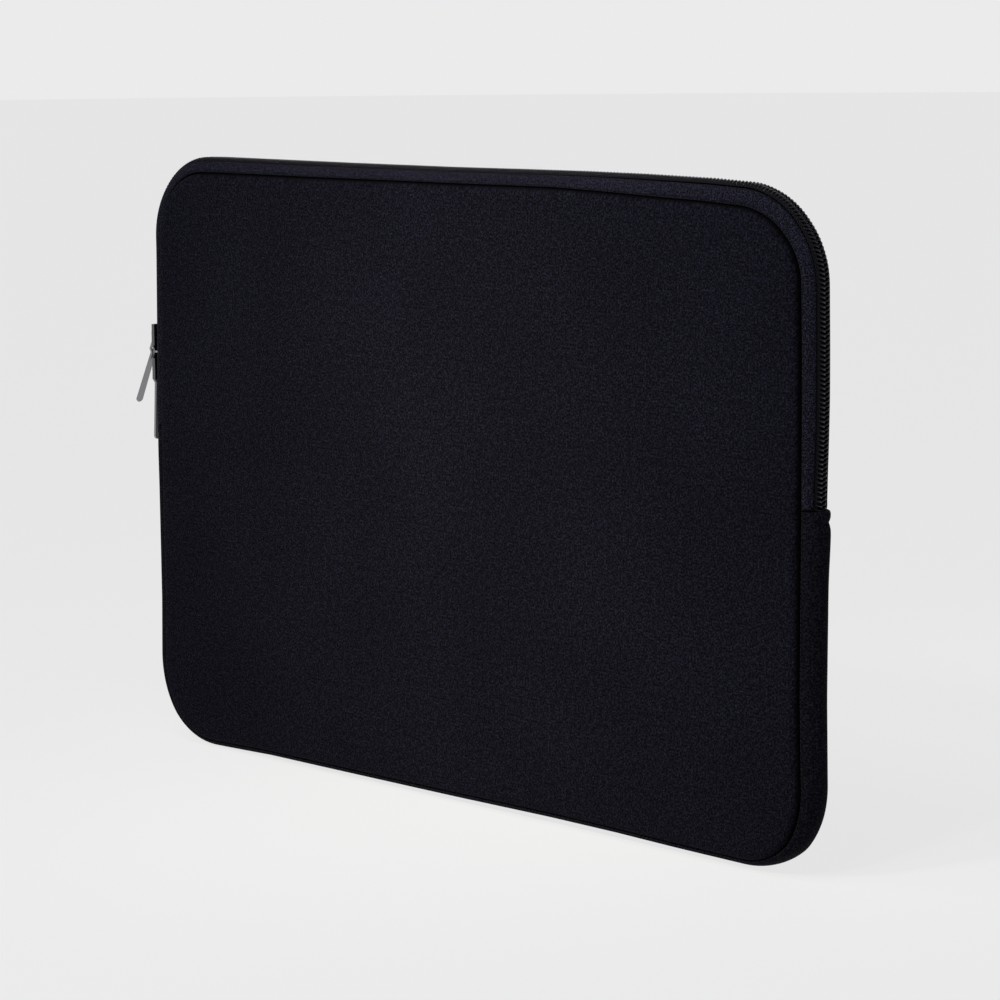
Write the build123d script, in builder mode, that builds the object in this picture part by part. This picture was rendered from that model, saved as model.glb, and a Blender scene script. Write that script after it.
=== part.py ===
"""Neoprene laptop sleeve with a two-slider coil zip round its upper half.

Millimetres. X runs along the width, the front panel faces -Y and Z is up. The origin is
the middle of the flat that the sleeve stands on. Across the edge, u is the distance in
from the outermost outline and v the distance from the middle plane, front side positive.
"""

import math
import os

from build123d import *

os.makedirs("parts", exist_ok=True)

# Overall shape
width = 350.0
height = 240.0
corner_radius = 34.0
zip_end_height = 129.0  # both zip ends, over the base

# Edge section, from the panel seam round the nose of the gusset
seam_inset = 7.0
seam_depth = 5.6
nose_flat = 1.0  # half the flat along the nose
nose_radius = 2.8

# Panels
panel_face = 7.6
hollow_depth = 3.6  # half the gap between the linings
knit_thickness = 0.5
lining_thickness = 0.6
panel_roll = 1.8

# Gusset and zip bands
gusset_thickness = 2.0
gusset_lining = 0.4
band_thickness = 1.6

# Seam bindings and threads
binding_width = 4.0
binding_thickness = 0.6
thread_radius = 0.22
thread_gap = 0.04
tack_height = 3.7  # cross stitches below the zip ends
tack_width = 0.6
tack_thickness = 0.3
tack_seam_gap = 1.0

# Coil zip
coil_half_width = 2.95
coil_gap = 0.75  # from the middle plane to a coil's heads
coil_crown = 0.2
coil_height = 2.1
tape_thickness = 0.5
tape_gap = 0.05
tape_margin = 0.35  # past the coil, before the tape folds down
band_edge_gap = 0.05

# Sliders
slider_length = 11.0
slider_side_gap = 0.25
slider_nose_taper = 1.1
slider_nose_length = 2.2
plate_thickness = 1.0
plate_edge = 0.45
slider_clearance = 0.3
flange_width = 0.75
flange_reach = 0.55  # how far the flanges wrap past the coil crown
under_plate_gap = 0.5
wedge_gap = 0.33
wedge_length = 3.4
wedge_inset = 0.5
crown_half_width = 1.1
crown_half_length = 3.8
crown_rise = 3.5
crown_bar = 1.1
crown_roll = 2.2
metal_edge = 0.3
slider_gap = 0.8  # between the two noses
upper_slider_above_end = 35.7

# Pulls
pull_length = 29.0
pull_thickness = 1.1
pull_edge = 0.2
pull_eye_bar = 0.5
pull_eye_wall = 0.85
pull_crown_gap = 0.4
pull_hole_margin = 1.7  # past the crown's lower leg
pull_shoulder = 1.8
pull_neck_half_width = 1.15
pull_tip_half_width = 1.5
pull_bar_gap = 0.55  # under the crown's bar
pull_bar_end_gap = 0.5
pull_over_crown_gap = 0.95  # upper pull to the lower slider's crown
lower_pull_lean = 2.0

# Fit between the leaning flap and the fixed half
flap_gap = 0.3

half_width = width / 2
straight_top = half_width - corner_radius
arc_start_height = height - corner_radius
shoulder_radius = (
    (seam_inset - nose_radius) ** 2 + (seam_depth - nose_flat) ** 2 - nose_radius**2
) / (2 * (seam_depth - nose_flat - nose_radius))
shoulder_centre = (seam_inset, seam_depth - shoulder_radius)
nose_centre = (nose_radius, nose_flat)
leg_outer = coil_half_width + tape_margin
band_edge = leg_outer + band_edge_gap
tack_half_span = seam_depth - tack_seam_gap
flap_start = zip_end_height + flap_gap
coil_floor = coil_crown + coil_height
tape_top = coil_floor + tape_gap
tape_floor = tape_top + tape_thickness
slider_half_width = coil_half_width + slider_side_gap + flange_width
under_half_width = leg_outer - tape_thickness - under_plate_gap
wedge_half_width = coil_gap - wedge_gap


def save(piece, name):
    piece.label = name
    export_step(piece, f"parts/{name}.step")


def arc_between(centre, radius, start, end):
    """Arc about centre from start's direction to end's, the short way round."""
    first = math.atan2(start[1] - centre[1], start[0] - centre[0])
    last = math.atan2(end[1] - centre[1], end[0] - centre[0])
    middle = (first + last) / 2
    if abs(first - last) > math.pi:
        middle += math.pi
    points = [
        (centre[0] + radius * math.cos(a), centre[1] + radius * math.sin(a))
        for a in (first, middle, last)
    ]
    return ThreePointArc(*points)


def shoulder_point(v, inset):
    """The point of the shoulder arc at depth v, moved in by inset."""
    radius = shoulder_radius - inset
    rise = v - shoulder_centre[1]
    return (shoulder_centre[0] - math.sqrt(radius**2 - rise**2), v)


def tangent_point(inset):
    """Where the nose arc meets the shoulder arc."""
    away = (nose_centre[0] - shoulder_centre[0], nose_centre[1] - shoulder_centre[1])
    reach = math.hypot(*away)
    radius = nose_radius - inset
    return (nose_centre[0] + away[0] / reach * radius, nose_centre[1] + away[1] / reach * radius)


def edge_curve(inset):
    """The gusset's line from the back seam, round the nose, to the front seam."""
    seam = (seam_inset, seam_depth - inset)
    joint = tangent_point(inset)
    flat = (inset, nose_flat)
    nose = nose_radius - inset
    shoulder = shoulder_radius - inset
    flip = (shoulder_centre[0], -shoulder_centre[1])
    flip_nose = (nose_centre[0], -nose_centre[1])
    arc_between(flip, shoulder, (seam[0], -seam[1]), (joint[0], -joint[1]))
    arc_between(flip_nose, nose, (joint[0], -joint[1]), (flat[0], -flat[1]))
    Line((flat[0], -flat[1]), flat)
    arc_between(nose_centre, nose, flat, joint)
    arc_between(shoulder_centre, shoulder, joint, seam)


def upper_path(start):
    """The outline over the zip, from the right end up, along the top and down."""
    Line((half_width, start), (half_width, arc_start_height))
    CenterArc((straight_top, arc_start_height), corner_radius, 0, 90)
    Line((straight_top, height), (-straight_top, height))
    CenterArc((-straight_top, arc_start_height), corner_radius, 90, 90)
    Line((-half_width, arc_start_height), (-half_width, start))


def lower_path(start):
    """The outline round the closed half, from the left zip end down and round."""
    Line((-half_width, start), (-half_width, corner_radius))
    CenterArc((-straight_top, corner_radius), corner_radius, 180, 90)
    Line((-straight_top, 0), (straight_top, 0))
    CenterArc((straight_top, corner_radius), corner_radius, 270, 90)
    Line((half_width, corner_radius), (half_width, start))


# Section planes at the paths' starts: first axis inward, second to the front
def upper_section(start):
    return Plane(origin=(half_width, 0, start), x_dir=(-1, 0, 0), z_dir=(0, 0, 1))


def lower_section(start):
    return Plane(origin=(-half_width, 0, start), x_dir=(1, 0, 0), z_dir=(0, 0, -1))


def swept(profile, upper, start):
    """Sweeps a flat profile round one of the two paths."""
    with BuildPart() as piece:
        with BuildLine(Plane.XZ) as path:
            if upper:
                upper_path(start)
            else:
                lower_path(start)
        with BuildSketch(upper_section(start) if upper else lower_section(start)):
            add(profile)
        sweep(path=path.wires()[0])
    return piece.part


# Panels: knit face, foam core and lining, front and back


def plate(near, far, inset, roll):
    """A rounded plate from depth near to depth far, its far rim rolled over."""
    with BuildPart() as piece:
        with BuildSketch(Plane.XZ.offset(near)):
            with Locations((0, height / 2)):
                RectangleRounded(
                    width - 2 * inset, height - 2 * inset, corner_radius - inset
                )
        extrude(amount=far - near)
        if roll:
            rim = piece.faces().sort_by(Axis.Y)[0]
            fillet(rim.edges(), roll)
    return piece.part


core_face = panel_face - knit_thickness
core_back = hollow_depth + lining_thickness
panel_core = plate(
    core_back, core_face, seam_inset + knit_thickness, panel_roll - knit_thickness
)
panel_knit = plate(core_back, panel_face, seam_inset, panel_roll) - panel_core
panel_lining = plate(hollow_depth, core_back, seam_inset, 0)

cut_low = Plane.XY.offset(zip_end_height)
cut_high = Plane.XY.offset(flap_start)


def front_halves(whole, name):
    """The front panel bends at the zip ends, so its layers part there."""
    with BuildPart() as lower:
        add(whole)
        split(bisect_by=cut_low, keep=Keep.BOTTOM)
    save(lower.part, f"front_{name}_lower")
    with BuildPart() as upper:
        add(whole)
        split(bisect_by=cut_high, keep=Keep.TOP)
    save(upper.part, f"front_{name}_flap")


def back_whole(whole, name):
    with BuildPart() as panel:
        add(whole.mirror(Plane.XZ))
    save(panel.part, f"back_{name}")


for layer, layer_name in ((panel_knit, "knit"), (panel_core, "foam"), (panel_lining, "lining")):
    front_halves(layer, layer_name)
    back_whole(layer, layer_name)


# Lower gusset: three layers of one strip round the closed half


def gusset_profile(outer, inner):
    with BuildSketch() as profile:
        with BuildLine():
            edge_curve(outer)
            edge_curve(inner)
            for side in (1, -1):
                Line(
                    (seam_inset, side * (seam_depth - outer)),
                    (seam_inset, side * (seam_depth - inner)),
                )
        make_face()
    return profile.sketch


gusset_layers = {
    "gusset_knit": (0, knit_thickness),
    "gusset_foam": (knit_thickness, gusset_thickness - gusset_lining),
    "gusset_lining": (gusset_thickness - gusset_lining, gusset_thickness),
}
for layer_name, (outer, inner) in gusset_layers.items():
    save(swept(gusset_profile(outer, inner), False, zip_end_height), layer_name)


# Zip bands: neoprene strips between the panel seams and the coils


def band_profile(outer, inner, side):
    tip = shoulder_point(band_edge, outer)
    heel = shoulder_point(band_edge, inner)
    seam_outer = (seam_inset, seam_depth - outer)
    seam_inner = (seam_inset, seam_depth - inner)

    def flip(point):
        return (point[0], side * point[1])

    centre = flip(shoulder_centre)
    with BuildSketch() as profile:
        with BuildLine():
            arc_between(centre, shoulder_radius - outer, flip(seam_outer), flip(tip))
            Line(flip(tip), flip(heel))
            arc_between(centre, shoulder_radius - inner, flip(heel), flip(seam_inner))
            Line(flip(seam_inner), flip(seam_outer))
        make_face()
    return profile.sketch


# Coils, tapes, bindings and threads, drawn the same way on both sides


def coil_profile(side):
    """A coil is round over its crown and flat on its tape."""
    middle = side * (coil_gap + coil_half_width) / 2
    reach = (coil_half_width - coil_gap) / 2
    shoulder = coil_crown + coil_height / 2

    with BuildSketch() as profile:
        with BuildLine():
            Line((coil_floor, middle - reach), (shoulder, middle - reach))
            ThreePointArc(
                (shoulder, middle - reach), (coil_crown, middle), (shoulder, middle + reach)
            )
            Line((shoulder, middle + reach), (coil_floor, middle + reach))
            Line((coil_floor, middle + reach), (coil_floor, middle - reach))
        make_face()
    return profile.sketch


def tape_profile(side):
    """Flat under the coil, then folded down beside the band to the seam."""
    leg_inner = leg_outer - tape_thickness
    corners = [
        (tape_top, coil_gap),
        (tape_top, leg_outer),
        (seam_inset, leg_outer),
        (seam_inset, leg_inner),
        (tape_floor, leg_inner),
        (tape_floor, coil_gap),
    ]

    with BuildSketch() as profile:
        with BuildLine():
            Polyline([(u, side * v) for u, v in corners], close=True)
        make_face()
    return profile.sketch


def thread_profile(side):
    u = seam_inset - thread_gap - thread_radius
    v = seam_depth + thread_gap + thread_radius

    with BuildSketch() as profile:
        with Locations((u, side * v)):
            Circle(thread_radius)
    return profile.sketch


def binding_profile(side):
    with BuildSketch() as profile:
        u = seam_inset + binding_width / 2
        v = hollow_depth - binding_thickness / 2
        with Locations((u, side * v)):
            Rectangle(binding_width, binding_thickness)
    return profile.sketch


for side, side_name, start in ((1, "front", flap_start), (-1, "back", zip_end_height)):
    profiles = {
        "band_knit": band_profile(0, knit_thickness, side),
        "band_foam": band_profile(knit_thickness, band_thickness, side),
        "zip_coil": coil_profile(side),
        "zip_tape": tape_profile(side),
    }
    for part_name, profile in profiles.items():
        save(swept(profile, True, start), f"{side_name}_{part_name}")

sewn = {"binding": binding_profile, "seam_thread": thread_profile}
for part_name, profile in sewn.items():
    save(swept(profile(1), False, zip_end_height), f"front_{part_name}_lower")
    save(swept(profile(1), True, flap_start), f"front_{part_name}_flap")
    back_pieces = Compound(
        children=[
            swept(profile(-1), False, zip_end_height),
            swept(profile(-1), True, zip_end_height),
        ]
    )
    save(back_pieces, f"back_{part_name}")


# Cross stitches that hold the gusset's turned ends over the zip ends
def tack_profile():
    limit = shoulder_point(tack_half_span, 0)
    limit_out = shoulder_point(tack_half_span, -tack_thickness)
    with BuildSketch() as profile:
        with BuildLine():
            for inset, end in ((0, limit), (-tack_thickness, limit_out)):
                joint = tangent_point(inset)
                flat = (inset, nose_flat)
                for side in (1, -1):
                    centre = (shoulder_centre[0], side * shoulder_centre[1])
                    nose = (nose_centre[0], side * nose_centre[1])
                    tip = (joint[0], side * joint[1])
                    last = (end[0], side * end[1])
                    arc_between(centre, shoulder_radius - inset, last, tip)
                    arc_between(nose, nose_radius - inset, tip, (flat[0], side * flat[1]))
                Line((inset, -nose_flat), (inset, nose_flat))
            for side in (1, -1):
                Line((limit[0], side * limit[1]), (limit_out[0], side * limit_out[1]))
        make_face()
    return profile.sketch


with BuildPart() as end_tacks:
    tack_level = zip_end_height - tack_height
    for across in (-1, 1):
        tack_plane = Plane(
            origin=(across * half_width, 0, tack_level), x_dir=(-across, 0, 0), z_dir=(0, 0, 1)
        )
        with BuildSketch(tack_plane):
            add(tack_profile())
        extrude(amount=tack_width)
save(end_tacks.part, "zip_end_tacks")


# Sliders on the left edge, noses together. Local z runs up the zip from the slider's middle.

plate_under = coil_crown - slider_clearance
plate_over = plate_under - plate_thickness
under_top = tape_floor + slider_clearance
under_floor = under_top + plate_thickness
left_edge = -half_width


def slider_outline(half, level, nose_up):
    """A plate's outline, seen from outside, with its nose end drawn in."""
    end = slider_length / 2
    nose = 1 if nose_up else -1
    shoulder = nose * (end - slider_nose_length)
    points = [
        (-half, level - nose * end),
        (half, level - nose * end),
        (half, level + shoulder),
        (half - slider_nose_taper, level + nose * end),
        (-half + slider_nose_taper, level + nose * end),
        (-half, level + shoulder),
    ]
    with BuildSketch() as outline:
        with BuildLine():
            Polyline(points, close=True)
        make_face()
    return outline.sketch


def outside_plane(u):
    """Faces out of the left edge at distance u in from the outline, y up the zip."""
    return Plane(origin=(left_edge + u, 0, 0), x_dir=(0, -1, 0), z_dir=(-1, 0, 0))


def build_slider(name, level, nose_up):
    nose = 1 if nose_up else -1
    wedge_middle = level + nose * (slider_length / 2 - wedge_inset - wedge_length / 2)
    with BuildPart() as body:
        with BuildSketch(outside_plane(plate_under)):
            add(slider_outline(slider_half_width, level, nose_up))
        extrude(amount=plate_thickness)
        rim = body.faces().sort_by(Axis.X)[0]
        fillet(rim.edges(), plate_edge)
        with BuildSketch(outside_plane(under_floor)):
            add(slider_outline(under_half_width, level, nose_up))
        extrude(amount=plate_thickness)
        with BuildSketch(outside_plane(coil_crown + flange_reach)):
            flange_length = slider_length - slider_nose_length
            flange_level = level - nose * slider_nose_length / 2
            for across in (-1, 1):
                with Locations(
                    (across * (slider_half_width - flange_width / 2), flange_level)
                ):
                    Rectangle(flange_width, flange_length)
        extrude(amount=flange_reach + slider_clearance)
        with BuildSketch(outside_plane(under_top)):
            with Locations((0, wedge_middle)):
                Ellipse(wedge_half_width, wedge_length / 2)
        extrude(amount=under_top - plate_under)
    save(body.part, f"{name}_body")

    with BuildPart() as crown:
        with BuildSketch(Plane.XZ.offset(-crown_half_width)):
            with BuildLine():
                foot = left_edge + plate_over
                Polyline(
                    (foot, level - crown_half_length),
                    (foot - crown_rise, level - crown_half_length),
                    (foot - crown_rise, level + crown_half_length),
                    (foot, level + crown_half_length),
                    close=True,
                )
            make_face()
            corners = vertices().group_by(Axis.X)[0]
            fillet(corners, crown_roll)
            with BuildLine():
                inner_top = foot - crown_rise + crown_bar
                inner_half = crown_half_length - crown_bar
                Polyline(
                    (foot, level - inner_half),
                    (inner_top, level - inner_half),
                    (inner_top, level + inner_half),
                    (foot, level + inner_half),
                    close=True,
                )
            make_face(mode=Mode.SUBTRACT)
        extrude(amount=2 * crown_half_width)
        sides = crown.faces().filter_by(Axis.Y)
        fillet(sides.edges().filter_by(Plane.XY, reverse=True), metal_edge)
    save(crown.part, f"{name}_crown")


pull_hole_half_width = crown_half_width + pull_crown_gap
pull_eye_half_width = pull_hole_half_width + pull_eye_wall
pull_pivot_rise = crown_rise - crown_bar - pull_bar_gap - pull_eye_bar
pull_pivot_drop = crown_half_length - crown_bar - pull_bar_end_gap - pull_eye_bar
pull_hole_end = crown_half_length - pull_pivot_drop + pull_hole_margin
pull_eye_end = pull_hole_end + pull_shoulder


def build_pull(name, level, lean):
    """A flat tab whose eye hangs on the crown, leaning out from the edge."""
    pivot = (left_edge + plate_over - pull_pivot_rise, 0, level - pull_pivot_drop)
    angle = math.radians(lean)
    along = (-math.sin(angle), 0, -math.cos(angle))
    face = (-math.cos(angle), 0, math.sin(angle))
    flat = Plane(origin=pivot, x_dir=along, z_dir=face)
    with BuildPart() as pull:
        with BuildSketch(flat.offset(-pull_thickness / 2)):
            with BuildLine():
                Polyline(
                    (0, -pull_eye_half_width),
                    (pull_hole_end, -pull_eye_half_width),
                    (pull_eye_end, -pull_neck_half_width),
                    (pull_length - pull_tip_half_width, -pull_tip_half_width),
                )
                ThreePointArc(
                    (pull_length - pull_tip_half_width, -pull_tip_half_width),
                    (pull_length, 0),
                    (pull_length - pull_tip_half_width, pull_tip_half_width),
                )
                Polyline(
                    (pull_length - pull_tip_half_width, pull_tip_half_width),
                    (pull_eye_end, pull_neck_half_width),
                    (pull_hole_end, pull_eye_half_width),
                    (0, pull_eye_half_width),
                    (0, -pull_eye_half_width),
                )
            make_face()
            with Locations((pull_hole_end / 2 - pull_eye_bar, 0)):
                Rectangle(
                    pull_hole_end + 2 * pull_eye_bar,
                    2 * pull_hole_half_width,
                    mode=Mode.SUBTRACT,
                )
        extrude(amount=pull_thickness)
        faces_out = pull.faces().filter_by(Axis(pivot, face))
        chamfer(faces_out.edges(), pull_edge)
        eye_end = Plane(origin=pivot, x_dir=along, z_dir=(0, 1, 0))
        with BuildSketch(eye_end.offset(-pull_eye_half_width)):
            Circle(pull_eye_bar)
        extrude(amount=2 * pull_eye_half_width)
    save(pull.part, name)


upper_level = zip_end_height + upper_slider_above_end
lower_level = upper_level - slider_length - slider_gap

# The upper pull leans just enough to pass over the rounded top of the lower slider's crown
roll_below = (upper_level - pull_pivot_drop) - (lower_level + crown_half_length - crown_roll)
roll_outside = crown_rise - crown_roll - pull_pivot_rise
pull_standoff = crown_roll + pull_over_crown_gap + pull_thickness / 2
upper_pull_lean = math.degrees(
    math.asin(pull_standoff / math.hypot(roll_below, roll_outside))
    + math.atan2(roll_outside, roll_below)
)
build_slider("upper_slider", upper_level, False)
build_slider("lower_slider", lower_level, True)
build_pull("upper_pull", upper_level, upper_pull_lean)
build_pull("lower_pull", lower_level, lower_pull_lean)
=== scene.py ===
import math

import bmesh
import bpy
import numpy as np
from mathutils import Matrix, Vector
from mathutils.kdtree import KDTree


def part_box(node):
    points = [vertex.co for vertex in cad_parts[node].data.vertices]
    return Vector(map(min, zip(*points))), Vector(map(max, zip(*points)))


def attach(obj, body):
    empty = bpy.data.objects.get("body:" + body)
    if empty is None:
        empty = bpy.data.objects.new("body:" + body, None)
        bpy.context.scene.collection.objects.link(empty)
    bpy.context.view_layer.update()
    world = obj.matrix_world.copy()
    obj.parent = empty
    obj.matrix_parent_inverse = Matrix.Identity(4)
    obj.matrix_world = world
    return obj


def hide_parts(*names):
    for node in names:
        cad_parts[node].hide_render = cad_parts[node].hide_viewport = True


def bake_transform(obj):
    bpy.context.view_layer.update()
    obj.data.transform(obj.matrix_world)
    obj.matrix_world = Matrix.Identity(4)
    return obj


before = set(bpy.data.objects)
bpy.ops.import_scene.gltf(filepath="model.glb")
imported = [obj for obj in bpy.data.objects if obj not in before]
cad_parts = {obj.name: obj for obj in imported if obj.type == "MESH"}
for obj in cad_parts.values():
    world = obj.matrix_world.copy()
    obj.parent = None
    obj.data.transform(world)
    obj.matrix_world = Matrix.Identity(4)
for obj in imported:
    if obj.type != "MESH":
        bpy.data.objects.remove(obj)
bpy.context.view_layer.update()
mm = 0.001

# Sizes that everything else follows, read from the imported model
seamInset = 7.0 * mm
cornerRadius = 34.0 * mm
edgeLow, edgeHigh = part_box("gusset_knit")
panelLow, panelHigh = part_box("back_knit")
halfWide = edgeHigh.x
zipEnd = edgeHigh.z
tall = panelHigh.z + seamInset


# ---- the outline and what is swept round it

outline = {
    "spacing": 3.0 * mm, "cornerSteps": 18,
    # mm from a zip end
    "endSteps": (0, 0.3, 0.9, 1.25, 1.7, 2.5, 3.3, 3.9, 4.4, 5.0, 5.8, 7.0, 9.0, 12.0),
    "endClear": 2,  # mm from the last of those to the first even step
    "tuckUnder": 0.9 * mm,  # how far the zip side runs on under the gusset's hem
    # how the soft outline strays from the pattern, by compass angle round the middle, mm inward
    "strayAt": (0, 20, 28, 33, 38, 44, 52, 62, 75, 90, 115, 138, 146, 155, 165, 175, 182, 200, 208,
                214, 220, 228, 240, 270, 292, 304, 313, 319.6, 323, 326.3, 330, 334, 342, 360),
    "stray": (0, 0.1, 0.5, 1.1, 1.0, -0.1, -0.5, -0.5, -0.2, 0.2, 0.45, 0.5, 1.3, 1.9, 1.2, 0.2, 0.1, 0,
              -0.9, -1.9, -1.1, -0.1, 0, 0.3, 0.8, 0.7, 0.2, 0, -1.2, -2.3, -1.7, -0.8, -0.1, 0),
}

# how the sewn seam wanders: its inset from the edge, mm
seamWander = {
    "topAt": (-0.141, -0.02, 0.052, 0.10, 0.141),
    "topInset": (6.3, 6.0, 6.2, 7.6, 8.2),
    "side": 6.6,
    "sideWave": 0.2,
    "waveRate": 31,
    "bottom": 2.7,
    "closesFrom": 0.72,  # how far the edge has turned down where the seam begins to close up
    "closesOver": 0.26,
}

# how the edge swells and draws in below and above a zip end, mm
waist = {
    "below": (0, 0.8, 2.0, 3.2, 4.3, 5.3, 7.2, 10, 14, 21, 28, 60, 129),
    "belowOut": (0.3, 0.75, 0.85, 0.6, -0.15, 0.5, 1.0, 0.95, 0.75, 0.3, 0.05, -0.3, -0.9),
    "above": (-1, 0, 3, 12, 24, 38),
    "aboveOut": (-1.3, -1.3, -1.25, -0.95, -0.4, 0),
    "leftShare": 0.05,  # the left edge is hardly drawn in
}


def straightRun(a, b, inward, spacing):
    # stations are (place, inward direction) pairs; each run leaves out its far end
    steps = max(2, round(math.dist(a, b) / spacing))
    for i in range(steps):
        f = i / steps
        yield (a[0] + (b[0] - a[0]) * f, a[1] + (b[1] - a[1]) * f), inward


def cornerRun(centre, startAngle, steps):
    for i in range(steps):
        a = math.radians(startAngle + 90 * i / steps)
        c, s = math.cos(a), math.sin(a)
        yield (centre[0] + cornerRadius * c, centre[1] + cornerRadius * s), (-c, -s)


def endRun(x, start, up, inward):
    # close stations next to a zip end, from the end outwards
    return [((x, start + up * d * mm), inward) for d in outline["endSteps"]]


def railStations(kind, spacing=outline["spacing"], cornerSteps=outline["cornerSteps"]):
    # stations along the outline: place, inward direction and distance travelled
    r, w, h = cornerRadius, halfWide, tall
    upStart = zipEnd - outline["tuckUnder"]
    reach = (outline["endSteps"][-1] + outline["endClear"]) * mm
    rail = []
    if kind == "upper":
        rail += endRun(w, upStart, 1, (-1, 0))
        rail += straightRun((w, upStart + reach), (w, h - r), (-1, 0), spacing)
    if kind == "loop":
        rail += straightRun((w, r), (w, h - r), (-1, 0), spacing)
    if kind in ("upper", "loop"):
        rail += cornerRun((w - r, h - r), 0, cornerSteps)
        rail += straightRun((w - r, h), (r - w, h), (0, -1), spacing)
        rail += cornerRun((r - w, h - r), 90, cornerSteps)
    if kind == "upper":
        rail += straightRun((-w, h - r), (-w, upStart + reach), (1, 0), spacing)
        rail += endRun(-w, upStart, 1, (1, 0))[::-1]
    if kind == "loop":
        rail += straightRun((-w, h - r), (-w, r), (1, 0), spacing)
    if kind == "lower":
        rail += endRun(-w, zipEnd, -1, (1, 0))
        rail += straightRun((-w, zipEnd - reach), (-w, r), (1, 0), spacing)
    if kind in ("lower", "loop"):
        rail += cornerRun((r - w, r), 180, cornerSteps)
        rail += straightRun((r - w, 0), (w - r, 0), (0, 1), spacing)
        rail += cornerRun((w - r, r), 270, cornerSteps)
    if kind == "lower":
        rail += straightRun((w, r), (w, zipEnd - reach), (-1, 0), spacing)
        rail += endRun(w, zipEnd, -1, (-1, 0))[::-1]
    place = np.array([p for p, n in rail])
    inward = np.array([n for p, n in rail], float)
    step = np.linalg.norm(np.diff(place, axis=0), axis=1)
    return place, inward, np.r_[0, np.cumsum(step)]


def smooth(t):
    # 0 to 1 with soft ends
    t = np.clip(t, 0, 1)
    return t * t * (3 - 2 * t)


def strayAt(place):
    # how far the soft outline lies inside the pattern's, in metres
    angle = math.degrees(math.atan2(place[1] - tall / 2, place[0])) % 360
    return float(np.interp(angle, outline["strayAt"], outline["stray"])) * mm


def seamInsetAt(place, inward):
    # how far the seam lies in from the pattern's edge, in metres
    top = float(np.interp(place[0], seamWander["topAt"], seamWander["topInset"]))
    end = top if inward[1] < 0 else seamWander["bottom"]
    side = seamWander["side"] + seamWander["sideWave"] * math.sin(place[1] * seamWander["waveRate"])
    share = inward[1] ** 2
    return (side * (1 - share) + end * share) * mm + strayAt(place)


def seamOpenAt(inward):
    # the seam lies open at the sides and top and closes up along the bottom
    return 1 - float(smooth((inward[1] - seamWander["closesFrom"]) / seamWander["closesOver"]))


def edgeShift(place, inward, above):
    # how far the edge itself is drawn in; above is true on the zip side of a zip end
    if above:
        out = float(np.interp((place[1] - zipEnd) / mm, waist["above"], waist["aboveOut"]))
    else:
        out = float(np.interp((zipEnd - place[1]) / mm, waist["below"], waist["belowOut"]))
    share = 1 if place[0] > 0 else waist["leftShare"]
    return strayAt(place) - out * mm * share * abs(inward[0])


def meshFrom(name, points, faces, cloth, tuck=None):
    # a closed mesh with its cloth coordinates and how much painted shade darkens each point's colour
    mesh = bpy.data.meshes.new(name)
    mesh.from_pydata([tuple(p) for p in points], [], faces)
    piece = bpy.data.objects.new(name, mesh)
    bpy.context.scene.collection.objects.link(piece)
    uv = mesh.uv_layers.new(name="cloth")
    corner = np.zeros(len(mesh.loops), np.int32)
    mesh.loops.foreach_get("vertex_index", corner)
    uv.data.foreach_set("uv", np.asarray(cloth, np.float32)[corner].ravel())
    if tuck is not None:
        # depth here holds painted shade for each point, not a depth
        depth = mesh.attributes.new("tuck", "FLOAT", "POINT")
        depth.data.foreach_set("value", np.asarray(tuck, np.float32))
    work = bmesh.new()
    work.from_mesh(mesh)
    bmesh.ops.remove_doubles(work, verts=work.verts, dist=0.002 * mm)
    bmesh.ops.dissolve_degenerate(work, dist=0.001 * mm, edges=work.edges)
    bmesh.ops.recalc_face_normals(work, faces=work.faces)
    work.to_mesh(mesh)
    work.free()
    mesh.polygons.foreach_set("use_smooth", [True] * len(mesh.polygons))
    return piece


def sweepRound(name, kind, profileAt, tuck=None, ring=False):
    # profileAt(place, inward) gives the closed section's (inset, depth) points, in metres
    # the shade function, if given, tells for each of them how much painted shade darkens its colour in
    # grooves and along hems
    place, inward, along = railStations(kind)
    points, cloth, faces, depth = [], [], [], []
    count = 0
    for i in range(len(place)):
        section = profileAt(place[i], inward[i])
        count = len(section)
        # depth collects painted shade for each point here, not a depth
        if tuck:
            depth += tuck(place[i], inward[i])
        across = 0
        for k, (u, v) in enumerate(section):
            if k:
                across += math.dist(section[k], section[k - 1])
            p = place[i] + inward[i] * u
            points.append((p[0], -v, p[1]))
            cloth.append((along[i], across))
    stations = len(place)
    last = stations if ring else stations - 1
    for i in range(last):
        j = (i + 1) % stations
        for k in range(count):
            m = (k + 1) % count
            faces.append((i * count + k, j * count + k, j * count + m, i * count + m))
    if not ring:
        faces.append(tuple(range(count)))
        faces.append(tuple(range((stations - 1) * count, stations * count))[::-1])
    return meshFrom(name, points, faces, cloth, depth if tuck else None)


def addModifier(piece, kind, **settings):
    modifier = piece.modifiers.new(kind.title(), kind)
    for key, value in settings.items():
        setattr(modifier, key, value)
    return modifier


def subdivide(piece, levels):
    addModifier(piece, "SUBSURF", levels=levels, render_levels=levels)


def applyModifiers(piece):
    view = bpy.context.evaluated_depsgraph_get()
    baked = bpy.data.meshes.new_from_object(piece.evaluated_get(view), depsgraph=view)
    piece.modifiers.clear()
    piece.data = baked


# ---- finishes


def newFinish(name):
    # a new material with its node tree and its shader
    finish = bpy.data.materials.new(name)
    finish.use_nodes = True
    tree = finish.node_tree
    return finish, tree, tree.nodes["Principled BSDF"]


def addNode(tree, kind, **settings):
    node = tree.nodes.new(kind)
    for key, value in settings.items():
        setattr(node, key, value)
    return node


def setInputs(node, values):
    for socket, value in values.items():
        node.inputs[socket].default_value = value


def joined(tree, source, target):
    tree.links.new(source, target)


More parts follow.
